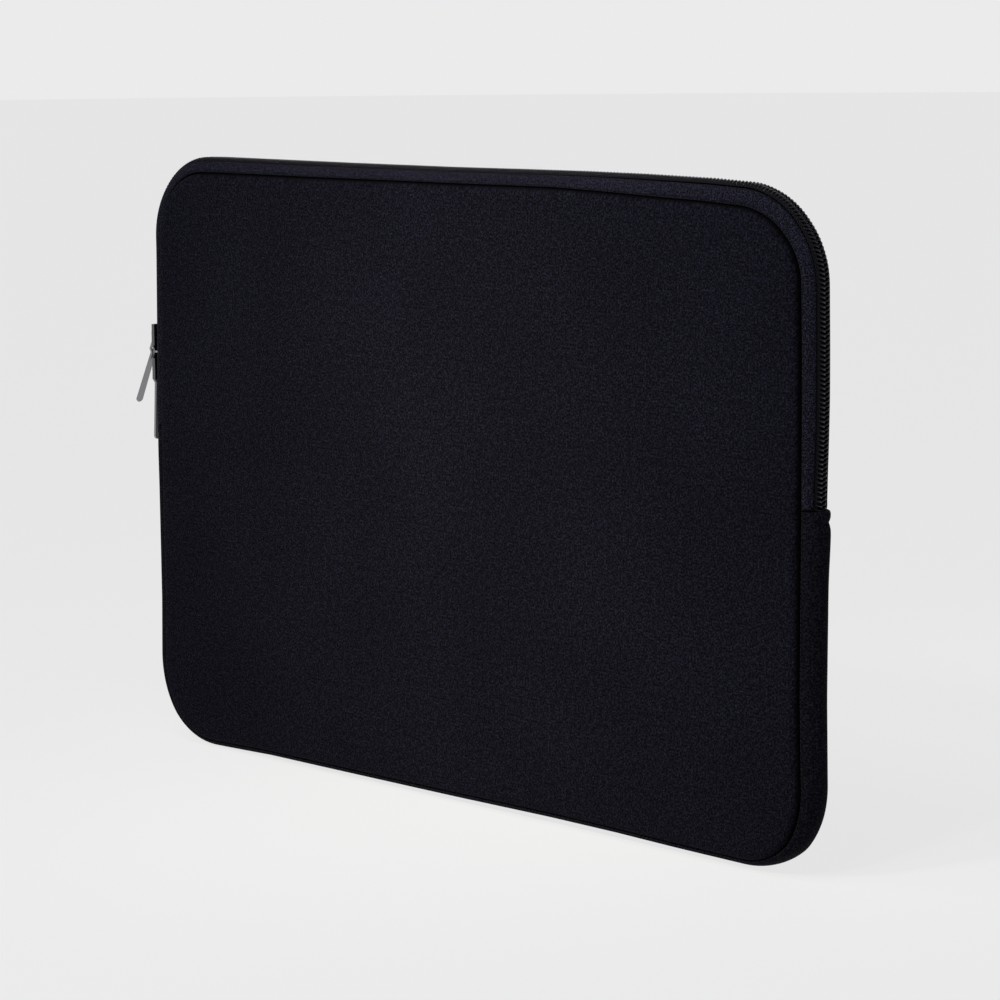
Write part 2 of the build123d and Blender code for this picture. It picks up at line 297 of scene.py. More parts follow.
def knitFinish(name, look):
    # a fine jersey face: tiny loops in columns, paler flecks and a slow change of shade
    finish, tree, shader = newFinish(name)
    where = addNode(tree, "ShaderNodeUVMap", uv_map="cloth")
    grid = addNode(tree, "ShaderNodeMapping")
    setInputs(grid, {"Scale": (1 / look["wale"], 1 / look["course"], 1)})
    joined(tree, where.outputs["UV"], grid.inputs["Vector"])
    loops = addNode(tree, "ShaderNodeTexVoronoi", feature="F1", voronoi_dimensions="2D")
    setInputs(loops, {"Scale": 1.0, "Randomness": look["unevenness"]})
    joined(tree, grid.outputs["Vector"], loops.inputs["Vector"])

    def noise(size, detail):
        made = addNode(tree, "ShaderNodeTexNoise", noise_dimensions="2D")
        setInputs(made, {"Scale": 1 / size, "Detail": detail})
        joined(tree, where.outputs["UV"], made.inputs["Vector"])
        return made.outputs["Fac"]

    def spread(source, low, high, bottom, top):
        ranged = addNode(tree, "ShaderNodeMapRange")
        setInputs(ranged, {"From Min": low, "From Max": high, "To Min": bottom, "To Max": top})
        joined(tree, source, ranged.inputs["Value"])
        return ranged.outputs["Result"]

    def times(a, b):
        product = addNode(tree, "ShaderNodeMath", operation="MULTIPLY")
        joined(tree, a, product.inputs[0])
        joined(tree, b, product.inputs[1])
        return product.outputs["Value"]

    # flecks, a coarser heather, a slow random change of tone, painted shade in the gaps between loops,
    # and painted shade in seam grooves and along hems
    flecks = noise(look["fleckSize"], 2)
    fleckShare = spread(flecks, 0.40, 0.68, 0, 1)
    heather = spread(noise(look["fleckSize"] * 3.2, 1), 0.35, 0.65, 0.75, 1.2)
    shade = spread(noise(look["shadeSize"], 2), 0.3, 0.7, look["shadeLow"], look["shadeHigh"])
    # painted shade: the colour darkens toward the gaps between loops, where they lie low
    loopGapPaintedShade = spread(loops.outputs["Distance"], 0, 0.7, 1.15, 0.7)
    # painted shade: the colour is darkened where the point's painted-shade attribute marks seam
    # grooves, inner walls and hem lines
    tuck = addNode(tree, "ShaderNodeAttribute", attribute_name="tuck")
    paintedShadeDarkest = spread(tuck.outputs["Fac"], 0, 1, 1, look["paintedShadeDarkest"])
    tint = addNode(tree, "ShaderNodeMix", data_type="RGBA")
    setInputs(tint, {"A": (*look["dark"], 1), "B": (*look["fleck"], 1)})
    joined(tree, fleckShare, tint.inputs["Factor"])
    toned = addNode(tree, "ShaderNodeMix", data_type="RGBA", blend_type="MULTIPLY")
    setInputs(toned, {"Factor": 1})
    joined(tree, tint.outputs["Result"], toned.inputs["A"])
    joined(tree, times(times(shade, paintedShadeDarkest), times(heather, loopGapPaintedShade)), toned.inputs["B"])
    joined(tree, toned.outputs["Result"], shader.inputs["Base Color"])
    # flecks stand up and the gaps between loops lie low
    heights = addNode(tree, "ShaderNodeMath", operation="MULTIPLY_ADD")
    setInputs(heights, {1: -0.8})
    joined(tree, flecks, heights.inputs[0])
    joined(tree, loops.outputs["Distance"], heights.inputs[2])
    bump = addNode(tree, "ShaderNodeBump", invert=True)
    setInputs(bump, {"Strength": look["bump"], "Distance": look["depth"]})
    joined(tree, heights.outputs["Value"], bump.inputs["Height"])
    joined(tree, bump.outputs["Normal"], shader.inputs["Normal"])
    setInputs(shader, {
        "Roughness": look["roughness"], "Specular IOR Level": look["specular"],
        "Sheen Weight": look["sheen"], "Sheen Roughness": look["sheenRoughness"],
        "Sheen Tint": (*look["sheenTint"], 1),
    })
    return finish


def plainFinish(name, look):
    # metal, nylon and thread: a base colour with fine unevenness in gloss and height
    finish, tree, shader = newFinish(name)
    where = addNode(tree, "ShaderNodeTexCoord")
    grain = addNode(tree, "ShaderNodeTexNoise")
    setInputs(grain, {"Scale": 1 / look["grain"], "Detail": 4})
    stretch = addNode(tree, "ShaderNodeMapping")
    setInputs(stretch, {"Scale": look.get("stretch", (1, 1, 1))})
    joined(tree, where.outputs["Object"], stretch.inputs["Vector"])
    joined(tree, stretch.outputs["Vector"], grain.inputs["Vector"])
    gloss = addNode(tree, "ShaderNodeMapRange")
    setInputs(gloss, {"To Min": look["roughness"] * 0.75, "To Max": look["roughness"] * 1.3})
    joined(tree, grain.outputs["Fac"], gloss.inputs["Value"])
    joined(tree, gloss.outputs["Result"], shader.inputs["Roughness"])
    tint = addNode(tree, "ShaderNodeMix", data_type="RGBA")
    paler = [c * look.get("spread", 1.25) for c in look["colour"]]
    setInputs(tint, {"A": (*look["colour"], 1), "B": (*paler, 1)})
    joined(tree, grain.outputs["Fac"], tint.inputs["Factor"])
    joined(tree, tint.outputs["Result"], shader.inputs["Base Color"])
    bump = addNode(tree, "ShaderNodeBump")
    setInputs(bump, {"Strength": look["bump"], "Distance": 0.1 * mm})
    joined(tree, grain.outputs["Fac"], bump.inputs["Height"])
    joined(tree, bump.outputs["Normal"], shader.inputs["Normal"])
    setInputs(shader, {
        "Metallic": look.get("metallic", 0), "Specular IOR Level": look.get("specular", 0.5),
    })
    return finish


knitLook = {
    "wale": 0.62 * mm, "course": 0.5 * mm, "unevenness": 0.6, "fleckSize": 0.75 * mm,
    # the last value on the next line is painted shade: the colour is multiplied down to it where seam
    # grooves and hems are fully shaded
    "shadeSize": 55 * mm, "shadeLow": 0.9, "shadeHigh": 1.1, "paintedShadeDarkest": 0.12,
    "dark": (0.0011, 0.0011, 0.0027), "fleck": (0.0090, 0.0090, 0.0160),
    "bump": 0.6, "depth": 0.25 * mm, "roughness": 0.85, "specular": 0.03,
    "sheen": 0.005, "sheenRoughness": 0.4, "sheenTint": (0.7, 0.75, 1.0),
}
gussetLook = dict(knitLook, dark=(0.0013, 0.0013, 0.0026), fleck=(0.0083, 0.0080, 0.0128))
bandLook = dict(
    knitLook, fleckSize=0.6 * mm, dark=(0.0014, 0.0014, 0.0032), fleck=(0.0180, 0.0178, 0.0300),
)
liningLook = dict(
    knitLook, wale=1.1 * mm, course=1.1 * mm, unevenness=1.0, fleckSize=1.6 * mm,
    dark=(0.0085, 0.0085, 0.0095), fleck=(0.017, 0.017, 0.019), bump=0.8, depth=0.4 * mm,
    roughness=0.95, sheen=0.1,
)
tapeLook = dict(
    knitLook, wale=0.5 * mm, course=1.4 * mm, unevenness=0.1, dark=(0.003, 0.003, 0.004),
    fleck=(0.007, 0.007, 0.009), bump=0.7, depth=0.2 * mm, roughness=0.75,
)
bindingLook = dict(tapeLook, wale=0.8 * mm, course=0.8 * mm, unevenness=0.2)

panelCloth = knitFinish("panelKnit", knitLook)
bandCloth = knitFinish("bandCloth", bandLook)
gussetCloth = knitFinish("gussetKnit", gussetLook)
liningCloth = knitFinish("brushedLining", liningLook)
tapeCloth = knitFinish("wovenZipTape", tapeLook)
bindingCloth = knitFinish("wovenBinding", bindingLook)
coilNylon = plainFinish("coilNylon", {
    "colour": (0.005, 0.005, 0.007), "grain": 1.2 * mm, "roughness": 0.2, "bump": 0.05,
    "specular": 0.2,
})
seamThread = plainFinish("seamThread", {
    "colour": (0.0068, 0.0068, 0.0100), "grain": 0.3 * mm, "roughness": 0.8, "bump": 0.5,
    "stretch": (1, 3, 1), "specular": 0.1,
})
coilThread = plainFinish("coilThread", {
    "colour": (0.0055, 0.0050, 0.0064), "grain": 0.3 * mm, "roughness": 0.85, "bump": 0.6,
    "specular": 0.06,
})
# a darker copy of the pulls' nickel for the slider bodies and crowns: painted shade, as they sit in
# shadow
darkNickel = plainFinish("darkNickel", {
    "colour": (0.13, 0.13, 0.135), "grain": 2.5 * mm, "roughness": 0.26, "bump": 0.04,
    "metallic": 1, "spread": 1.15,
})
pullNickel = plainFinish("pullNickel", {
    "colour": (0.24, 0.24, 0.25), "grain": 1.2 * mm, "roughness": 0.22, "bump": 0.05,
    "metallic": 1, "spread": 1.1, "stretch": (1, 1, 0.25),
})
print("finishes made")


# ---- panels

panel = {
    # the rolled rim: distance in from the seam and distance from the middle plane, mm
    "rim": ((-0.3, 4.2), (0.0, 4.3), (0.16, 5.2), (0.4, 6.1), (0.9, 6.85), (1.7, 7.3), (2.8, 7.5),
            (4.4, 7.6), (6.5, 7.6), (9.5, 7.6), (13.0, 7.6), (17.5, 7.6), (22.5, 7.6), (27.0, 7.6)),
    # painted shade: how much each rim ring's colour is darkened, full in the seam's groove and fading
    # out onto the face
    "tuck": (1, 1, 1, 0.9, 0.35, 0.08, 0, 0, 0, 0, 0, 0, 0, 0),
    "closedDepth": 5.3,  # how far out the rim's bottom comes where the seam closes up, mm
    "coreBack": 4.1,
    "lining": 3.62,
    "liningGap": 0.02,
    "liningIn": 0.6,  # the lining starts this far inside the seam, mm
    "foldAt": 2 * mm,  # the rolled rim keeps its width up to here; further in it is stretched
    "swell": 0.9 * mm,
    "swellFrom": 16 * mm,  # the swell is full this far inside the seam
    "faceDepth": 1.8 * mm,  # only points this near the face swell
    "ripple": 0.35 * mm,
    "subdivision": 1,
}


def panelSheet(depths, insetAt, lifted=False):
    # rings from the seam inward, then a grid; gives points and faces
    # lifted is for the outer face, which rises where the seam closes up
    place, inward = railStations("loop")[:2]
    rimReach = cornerRadius - seamInset
    points, faces = [], []
    stations = len(place)
    for d, v in depths:
        for i in range(stations):
            first = insetAt(place[i], inward[i])
            u = first + d * mm * (cornerRadius - first) / rimReach
            if d * mm < panel["foldAt"]:
                u = first + d * mm
            if d * mm >= rimReach:
                u = cornerRadius
            p = place[i] + inward[i] * u
            closed = max(v, panel["closedDepth"]) if lifted and d >= 0 else v
            depth = closed + (v - closed) * seamOpenAt(inward[i])
            points.append((p[0], -depth * mm, p[1]))
    for ring in range(len(depths) - 1):
        for i in range(stations):
            j = (i + 1) % stations
            a, b = ring * stations, (ring + 1) * stations
            faces.append((a + i, a + j, b + j, b + i))
    wide = halfWide - cornerRadius
    across = max(2, round(2 * wide / outline["spacing"]))
    upward = max(2, round((tall - 2 * cornerRadius) / outline["spacing"]))
    base = len(points)
    for j in range(upward + 1):
        z = cornerRadius + (tall - 2 * cornerRadius) * j / upward
        for i in range(across + 1):
            points.append((-wide + 2 * wide * i / across, -depths[-1][1] * mm, z))
    for j in range(upward):
        for i in range(across):
            a = base + j * (across + 1) + i
            faces.append((a, a + 1, a + across + 2, a + across + 1))
    return points, faces


def panelSolid(name, outer, inner, insetAt, lifted=False):
    # two sheets that share the seam ring make one closed slab
    front, frontFaces = panelSheet(outer, insetAt, lifted)
    back, backFaces = panelSheet(inner, insetAt)
    shift = len(front)
    points = front + back
    faces = frontFaces + [tuple(shift + k for k in f)[::-1] for f in backFaces]
    cloth = [(p[0], p[2] - p[1]) for p in points]
    # painted shade down the rim's groove, left off where the seam closes up along the bottom
    openShare = np.array([seamOpenAt(n) for n in railStations("loop")[1]])
    stations = len(openShare)
    tuck = np.zeros(len(points))
    for ring, value in enumerate(panel["tuck"][:len(outer)]):
        tuck[ring * stations:(ring + 1) * stations] = value * openShare
    return meshFrom(name, points, faces, cloth, tuck)


puff = {
    "spacing": 8 * mm, "cornerSteps": 6, "halfThick": 6 * mm, "voxel": 5.5 * mm,
    "sewnWithin": 3 * mm,  # held down this far inside the seam
    "pressure": 4, "shrink": -0.02, "quality": 5, "steps": 20, "limit": 16 * mm,
    "nearest": 6, "nearestSoft": 1 * mm,  # points read for one panel point, and how evenly
}


def puffedField():
    # a foam slab blown up a little as cloth, read back as how far its face swells
    slab = bpy.data.meshes.new("puffSlab")
    work = bmesh.new()
    place, inward = railStations("loop", puff["spacing"], puff["cornerSteps"])[:2]
    ring = [place[i] + inward[i] * seamInset for i in range(len(place))]
    sheet = [work.verts.new((p[0], -puff["halfThick"], p[1])) for p in ring]
    face = work.faces.new(sheet)
    made = bmesh.ops.extrude_face_region(work, geom=[face])
    moved = [g for g in made["geom"] if isinstance(g, bmesh.types.BMVert)]
    bmesh.ops.translate(work, verts=moved, vec=(0, 2 * puff["halfThick"], 0))
    bmesh.ops.recalc_face_normals(work, faces=work.faces)
    work.to_mesh(slab)
    work.free()
    pad = bpy.data.objects.new("puffSlab", slab)
    bpy.context.scene.collection.objects.link(pad)
    addModifier(pad, "REMESH", mode="VOXEL", voxel_size=puff["voxel"])
    applyModifiers(pad)
    start = np.array([v.co for v in pad.data.vertices])
    rim = pad.vertex_groups.new(name="sewn")
    edgeGap = np.minimum(halfWide - np.abs(start[:, 0]), tall / 2 - np.abs(start[:, 2] - tall / 2))
    sewn = np.where(edgeGap < seamInset + puff["sewnWithin"])[0]
    rim.add([int(i) for i in sewn], 1, "REPLACE")
    cloth = addModifier(pad, "CLOTH")
    cloth.settings.use_pressure = True
    cloth.settings.uniform_pressure_force = puff["pressure"]
    cloth.settings.effector_weights.gravity = 0
    cloth.settings.vertex_group_mass = "sewn"
    cloth.settings.shrink_min = puff["shrink"]
    cloth.settings.quality = puff["quality"]
    cloth.point_cache.frame_start = 1
    cloth.point_cache.frame_end = puff["steps"]
    for step in range(1, puff["steps"] + 1):
        bpy.context.scene.frame_set(step)
    view = bpy.context.evaluated_depsgraph_get()
    blown = pad.evaluated_get(view).to_mesh()
    end = np.array([v.co for v in blown.vertices])
    bpy.context.scene.frame_set(1)
    out = start[:, 1] < 0
    swell = np.clip((start[:, 1] - end[:, 1])[out], 0, puff["limit"])
    tree = KDTree(int(out.sum()))
    for k, p in enumerate(start[out]):
        tree.insert((p[0], 0, p[2]), k)
    tree.balance()
    bpy.data.objects.remove(pad)
    top = max(float(np.percentile(swell, 98)), 1e-6)
    print("foam slab swelled by", round(top * 1000, 2), "mm before scaling")
    return tree, swell / top


def swellPanel(piece, field, side):
    # side is -1 for the front, +1 for the back
    for v in piece.data.vertices:
        if v.co.y * side < panelHigh.y - panel["faceDepth"]:
            continue
        x, z = v.co.x, v.co.z
        gap = min(halfWide - abs(x), z, tall - z) - seamInset
        hold = float(smooth(gap / panel["swellFrom"]))
        share = 1
        if field:
            tree, swell = field
            near = tree.find_n((x, 0, z), puff["nearest"])
            weights = [1 / (d + puff["nearestSoft"]) for c, k, d in near]
            share = sum(w * swell[k] for w, (c, k, d) in zip(weights, near)) / sum(weights)
        # slow, uneven waves that keep the foam from looking pressed flat
        wave = math.sin(x * 23 + 1.3 * side) * math.sin(z * 31 + x * 9)
        wave += 0.5 * math.sin(x * 47 - z * 38)
        v.co.y += side * hold * (panel["swell"] * share + panel["ripple"] * 0.5 * wave)


def mirrored(piece):
    # from the front side to the back
    for v in piece.data.vertices:
        v.co.y = -v.co.y
    piece.data.flip_normals()


rimOuter = panel["rim"]
innerRim = tuple((d, panel["coreBack"]) for d, v in rimOuter)
innerRim = ((rimOuter[0][0], rimOuter[0][1]),) + innerRim[1:]
liningBack = panel["coreBack"] - panel["liningGap"]
liningOuter = tuple((max(d, 0) + panel["liningIn"], liningBack) for d, v in rimOuter[1:-1])
liningOuter += ((rimOuter[-1][0], liningBack),)
liningInner = tuple((d, panel["lining"]) for d, v in liningOuter)
liningInner = (liningOuter[0],) + liningInner[1:]

swellField = puffedField()

frontPanel = panelSolid("frontPanel", rimOuter, innerRim, seamInsetAt, True)
frontLining = panelSolid("frontLining", liningOuter, liningInner, seamInsetAt)
backPanel = panelSolid("backPanel", rimOuter, innerRim, seamInsetAt, True)
backLining = panelSolid("backLining", liningOuter, liningInner, seamInsetAt)
mirrored(backPanel)
mirrored(backLining)
swellPanel(frontPanel, swellField, -1)
swellPanel(backPanel, swellField, 1)
for piece, cloth in ((frontPanel, panelCloth), (backPanel, panelCloth),
                     (frontLining, liningCloth), (backLining, liningCloth)):
    piece.data.materials.append(cloth)
    subdivide(piece, panel["subdivision"])
print("panels made")


# ---- lower gusset and zip bands

# along the section from seam to nose: share of the seam's inset, depth in mm, and how much painted
# shade darkens it in the seam's groove
skinSection = ((1.04, 4.0, 1), (1.0, 4.1, 1), (0.985, 4.9, 1), (0.95, 5.35, 0.8), (0.87, 5.6, 0.15),
               (0.74, 5.6, 0), (0.55, 5.25, 0), (0.37, 4.55, 0), (0.2, 3.55, 0), (0.08, 2.4, 0),
               (0.015, 1.2, 0), (0.0, 0.0, 0))
wallSection = ((1.04, 3.5), (0.92, 3.5), (0.74, 3.3), (0.58, 2.8), (0.46, 2.0), (0.4, 1.0),
               (0.385, 0.0))
# the same columns; painted shade is full in the seam's groove and over the band's inner face
bandSection = ((1.04, 4.0, 1), (1.0, 4.1, 1), (0.985, 4.9, 1), (0.95, 5.4, 0.8), (0.87, 5.68, 0.15),
               (0.74, 5.68, 0), (0.56, 5.42, 0), (0.4, 4.85, 0), (0.27, 4.2, 0), (0.2, 3.65, 0.4),
               (0.22, 3.38, 1), (0.34, 3.34, 1), (0.5, 3.38, 1), (0.7, 3.5, 1), (0.88, 3.6, 1),
               (1.04, 3.7, 1))

# how full the sections stand by distance from the zip end, mm: the turned hem and the folded band
hem = {
    "gussetAt": (0, 0.3, 0.9, 2.6, 3.6, 4.4, 5.4, 8, 14, 26),
    "gussetFull": (0.985, 1.04, 1.055, 1.045, 1.01, 0.985, 1.02, 1.04, 1.03, 1.0),
    "bandAt": (-0.9, 0.0, 0.35, 0.8, 1.6, 2.4, 3.5),
    "bandFull": (0.9, 0.93, 0.965, 1.01, 1.02, 1.005, 1.0),
    # painted shade on the band just above the gusset's hem: full up to the first value, gone past the
    # second, mm above the zip end
    "bandPaintedShadeAt": (0.35, 0.8),
    "bandTopIn": 0.45 * mm,  # the band sits a little lower along the top
    "endPaintedShade": 0.8,  # painted shade along the gusset's cut end, the dark line where the band runs under the hem
    "gussetSubdivision": 1,
    "bandSubdivision": 2,
}


def gussetSection(place, inward):
    # the skin from seam to seam over the nose, then the inner wall back
    stray = strayAt(place)
    seam = seamInsetAt(place, inward) - stray
    shift = edgeShift(place, inward, False)
    full = float(np.interp((zipEnd - place[1]) / mm, hem["gussetAt"], hem["gussetFull"]))
    shut = 1 - seamOpenAt(inward)

    def moved(share, depth):
        # the seam keeps its place, the nose moves with the edge
        grown = full * (1 - 0.5 * share) + 0.5 * share
        atSeam = float(smooth((share - 0.9) / 0.08))
        raised = depth + max(panel["closedDepth"] - depth, 0) * shut * atSeam
        return share * seam + stray + (shift - stray) * (1 - share), raised * mm * grown

    half = [moved(share, depth) for share, depth, tuck in skinSection]
    wall = [(share * seam + stray, depth * mm) for share, depth in wallSection]
    skin = half + [(u, -v) for u, v in half[-2::-1]]
    back = [(u, -v) for u, v in wall] + wall[-2::-1]
    return skin + back


def bandAt(side):
    # the section of one zip band; side is 1 for the front, -1 for the back
    def section(place, inward):
        stray = strayAt(place)
        seam = seamInsetAt(place, inward) - stray
        shift = edgeShift(place, inward, True)
        full = float(np.interp((place[1] - zipEnd) / mm, hem["bandAt"], hem["bandFull"]))
        moved = shift - stray + hem["bandTopIn"] * abs(inward[1])
        return [(share * seam + stray + moved * (1 - share), side * depth * mm * full)
                for share, depth, tuck in bandSection]
    return section


# painted shade across the gusset's section: the skin's column on both faces, and full over the inner
# wall
skinPaintedShade = [tuck for share, depth, tuck in skinSection]
gussetPaintedShade = skinPaintedShade + skinPaintedShade[-2::-1] + [1] * (2 * len(wallSection) - 1)


def gussetPaintedShadeAt(place, inward):
    # painted shade: the groove shade, left off where the seam closes up, and a dark line along the
    # gusset's cut end at the hem
    atEnd = hem["endPaintedShade"] if place[1] > zipEnd - 0.05 * mm else 0
    openShare = seamOpenAt(inward)
    return [max(value * openShare, atEnd) for value in gussetPaintedShade]


def bandPaintedShadeAt(place, inward):
    # fold holds painted shade on the band just above the gusset's hem, where the band runs under it
    fold = 1 - float(np.interp((place[1] - zipEnd) / mm, hem["bandPaintedShadeAt"], (0, 1)))
    return [max(tuck, fold) for share, depth, tuck in bandSection]


gusset = sweepRound("lowerGusset", "lower", gussetSection, gussetPaintedShadeAt)
frontBand = sweepRound("frontZipBand", "upper", bandAt(1), bandPaintedShadeAt)
backBand = sweepRound("backZipBand", "upper", bandAt(-1), bandPaintedShadeAt)
for piece, cloth, levels in ((gusset, gussetCloth, hem["gussetSubdivision"]),
                             (frontBand, bandCloth, hem["bandSubdivision"]),
                             (backBand, bandCloth, hem["bandSubdivision"])):
    piece.data.materials.append(cloth)
    subdivide(piece, levels)
print("gusset and zip bands made")


# ---- zip tapes and inner bindings

# mm: top and under are insets from the edge, the others distances from the middle plane
tape = {"top": 2.36, "under": 2.8, "inner": 0.25, "fold": 3.28, "leg": 2.82}
binding = {"width": 3.9, "outer": 3.6, "inner": 3.05}


def tapeSection(side):
    # flat under the coil, then turned down along the band to the seam
    def section(place, inward):
        shift = edgeShift(place, inward, True)
        seam = (seamInsetAt(place, inward) - shift) / mm
        corners = ((tape["top"], tape["inner"]), (tape["top"], 1.6), (tape["top"], tape["fold"] - 0.3),
                   (tape["top"] + 0.3, tape["fold"]), (4.5, tape["fold"]), (seam, tape["fold"]),
                   (seam, tape["leg"]), (4.5, tape["leg"]), (tape["under"] + 0.15, tape["leg"]),
                   (tape["under"], tape["leg"] - 0.2), (tape["under"], 1.6),
                   (tape["under"], tape["inner"]))
        return [(u * mm + shift, side * v * mm) for u, v in corners]
    return section


def bindingSection(side):
    # a flat strip with rounded edges
    def section(place, inward):
        seam = seamInsetAt(place, inward)
        width = binding["width"] * mm
        thick = (binding["outer"] - binding["inner"]) * mm
        outer = binding["outer"] * mm
        corners = ((0.1, 0), (0, 0.5), (0.1, 1), (0.5, 1.15), (0.9, 1), (1, 0.5), (0.9, 0), (0.5, 0))
        return [(seam + a * width, side * (outer - b * thick)) for a, b in corners]
    return section


frontTape = sweepRound("frontZipTape", "upper", tapeSection(1))
backTape = sweepRound("backZipTape", "upper", tapeSection(-1))
frontBinding = sweepRound("frontSeamBinding", "loop", bindingSection(1), ring=True)
backBinding = sweepRound("backSeamBinding", "loop", bindingSection(-1), ring=True)
for piece, cloth in ((frontTape, tapeCloth), (backTape, tapeCloth),
                     (frontBinding, bindingCloth), (backBinding, bindingCloth)):
    piece.data.materials.append(cloth)
    subdivide(piece, 1)
print("tapes and bindings made")


# ---- coil and stitches, laid along a path by one node tree


def alongPathTree():
    # sets copies of Piece along a path every Spacing, turned to follow it
    tree = bpy.data.node_groups.new("laidAlongPath", "GeometryNodeTree")
    for name, kind in (("Path", "Geometry"), ("Spacing", "Float"), ("Piece", "Object"),
                       ("Finish", "Material"), ("Unevenness", "Float"), ("Seed", "Int")):
        tree.interface.new_socket(name, in_out="INPUT", socket_type="NodeSocket" + kind)
    tree.interface.new_socket("Row", in_out="OUTPUT", socket_type="NodeSocketGeometry")
    source = addNode(tree, "NodeGroupInput")
    result = addNode(tree, "NodeGroupOutput")
    curve = addNode(tree, "GeometryNodeMeshToCurve")
    even = addNode(tree, "GeometryNodeResampleCurve", mode="LENGTH")
    info = addNode(tree, "GeometryNodeObjectInfo")
    heading = addNode(tree, "GeometryNodeInputTangent")
    turn = addNode(tree, "FunctionNodeAlignEulerToVector", axis="Z", pivot_axis="Y")
    lowest = addNode(tree, "ShaderNodeMath", operation="SUBTRACT")
    highest = addNode(tree, "ShaderNodeMath", operation="ADD")
    size = addNode(tree, "FunctionNodeRandomValue", data_type="FLOAT")
    copies = addNode(tree, "GeometryNodeInstanceOnPoints")
    real = addNode(tree, "GeometryNodeRealizeInstances")
    paint = addNode(tree, "GeometryNodeSetMaterial")
    setInputs(lowest, {0: 1})
    setInputs(highest, {0: 1})
    for maker, given, user, taken in (
        (source, "Path", curve, "Mesh"), (curve, "Curve", even, "Curve"),
        (source, "Spacing", even, "Length"), (source, "Piece", info, "Object"),
        (heading, "Tangent", turn, "Vector"), (source, "Unevenness", lowest, 1),
        (source, "Unevenness", highest, 1), (lowest, "Value", size, "Min"),
        (highest, "Value", size, "Max"), (source, "Seed", size, "Seed"),
        (even, "Curve", copies, "Points"), (info, "Geometry", copies, "Instance"),
        (turn, "Rotation", copies, "Rotation"), (size, "Value", copies, "Scale"),
        (copies, "Instances", real, "Geometry"), (real, "Geometry", paint, "Geometry"),
        (source, "Finish", paint, "Material"), (paint, "Geometry", result, "Row"),
    ):
        joined(tree, maker.outputs[given], user.inputs[taken])
    return tree


layTree = alongPathTree()


def layAlong(name, path, spacing, pattern, finish, unevenness=0.0, seed=1, ring=False):
    # one plain mesh of all the copies of pattern along path
    mesh = bpy.data.meshes.new(name)
    edges = [(i, i + 1) for i in range(len(path) - 1)]
    if ring:
        edges.append((len(path) - 1, 0))
    mesh.from_pydata([tuple(p) for p in path], edges, [])
    piece = bpy.data.objects.new(name, mesh)
    bpy.context.scene.collection.objects.link(piece)
    modifier = piece.modifiers.new("laid", "NODES")
    modifier.node_group = layTree
    values = {"Spacing": spacing, "Piece": pattern, "Finish": finish,
              "Unevenness": unevenness, "Seed": seed}
    for socket in layTree.interface.items_tree:
        if socket.in_out == "INPUT" and socket.name in values:
            modifier[socket.identifier] = values[socket.name]
    bpy.context.view_layer.update()
    applyModifiers(piece)
    piece.data.polygons.foreach_set("use_smooth", [True] * len(piece.data.polygons))
    return piece


def wirePattern(name, centre, radius, sides=6, capped=True):
    # a round wire along centre, a list of points; radius is one number or one for each point
    # uncapped ends butt against the next copy
    points, faces = [], []
    count = len(centre)
    for i, p in enumerate(centre):
        ahead = Vector(centre[min(i + 1, count - 1)])
        behind = Vector(centre[max(i - 1, 0)])
        along = (ahead - behind).normalized()
        side = along.orthogonal() if i == 0 else side - along * side.dot(along)
        side.normalize()
        other = along.cross(side)
        thick = radius[i] if isinstance(radius, (list, tuple)) else radius
        for k in range(sides):
            a = math.tau * k / sides
            points.append(Vector(p) + (side * math.cos(a) + other * math.sin(a)) * thick)
    for i in range(count - 1):
        for k in range(sides):
            m = (k + 1) % sides
            a, b = i * sides, (i + 1) * sides
            faces.append((a + k, a + m, b + m, b + k))
    if capped:
        faces.append(tuple(range(sides))[::-1])
        faces.append(tuple(range((count - 1) * sides, count * sides)))
    mesh = bpy.data.meshes.new(name)
    mesh.from_pydata([tuple(p) for p in points], [], faces)
    return bpy.data.objects.new(name, mesh)


coil = {
    "pitch": 1.62 * mm, "crown": 0.15, "wire": 0.34,
    "endTrim": 0.4 * mm,  # the first turn stands this far from the zip end
    # one turn from head to head: distance from the middle plane and height below the crown, mm,
    # share of the pitch travelled and share of the wire's thickness
    "turn": ((-0.42, 1.25, -0.5, 0.95), (-0.42, 0.9, -0.45, 1.05), (-0.22, 0.66, -0.38, 1.2),
             (0.15, 0.62, -0.28, 1.15), (0.6, 0.5, -0.17, 1.1), (1.05, 0.36, -0.06, 1.3),
             (1.5, 0.34, 0.04, 1.42), (1.95, 0.48, 0.14, 1.3), (2.3, 0.8, 0.22, 1.05),
             (2.52, 1.14, 0.28, 0.92), (2.54, 1.4, 0.31, 0.92), (2.42, 1.68, 0.33, 0.95),
             (2.0, 1.85, 0.36, 0.95), (1.0, 1.88, 0.41, 0.95), (0.1, 1.82, 0.46, 0.95),
             (-0.32, 1.6, 0.49, 1.0), (-0.42, 1.25, 0.5, 0.95)),
    # sewing threads: distance from the middle plane, height below the crown and wave, mm, and
    # where along a turn the wave is highest
    "threadRows": ((2.42, 0.86, 0.35, 0.24), (2.78, 1.15, 0.3, 0.34), (3.08, 1.45, 0.25, 0.85)),
    "thread": 0.24,
    "threadSway": 0.06,
    "threadSteps": 6,
}


def coilTurn(side):
    # one turn of the nylon coil: a broad head past the middle plane, a lower shank behind it
    centre = [(-(coil["crown"] + h) * mm, -side * y * mm, coil["pitch"] * z)
              for y, h, z, t in coil["turn"]]
    radius = [coil["wire"] * t * mm for y, h, z, t in coil["turn"]]
    return wirePattern("coilTurn", centre, radius, capped=False)


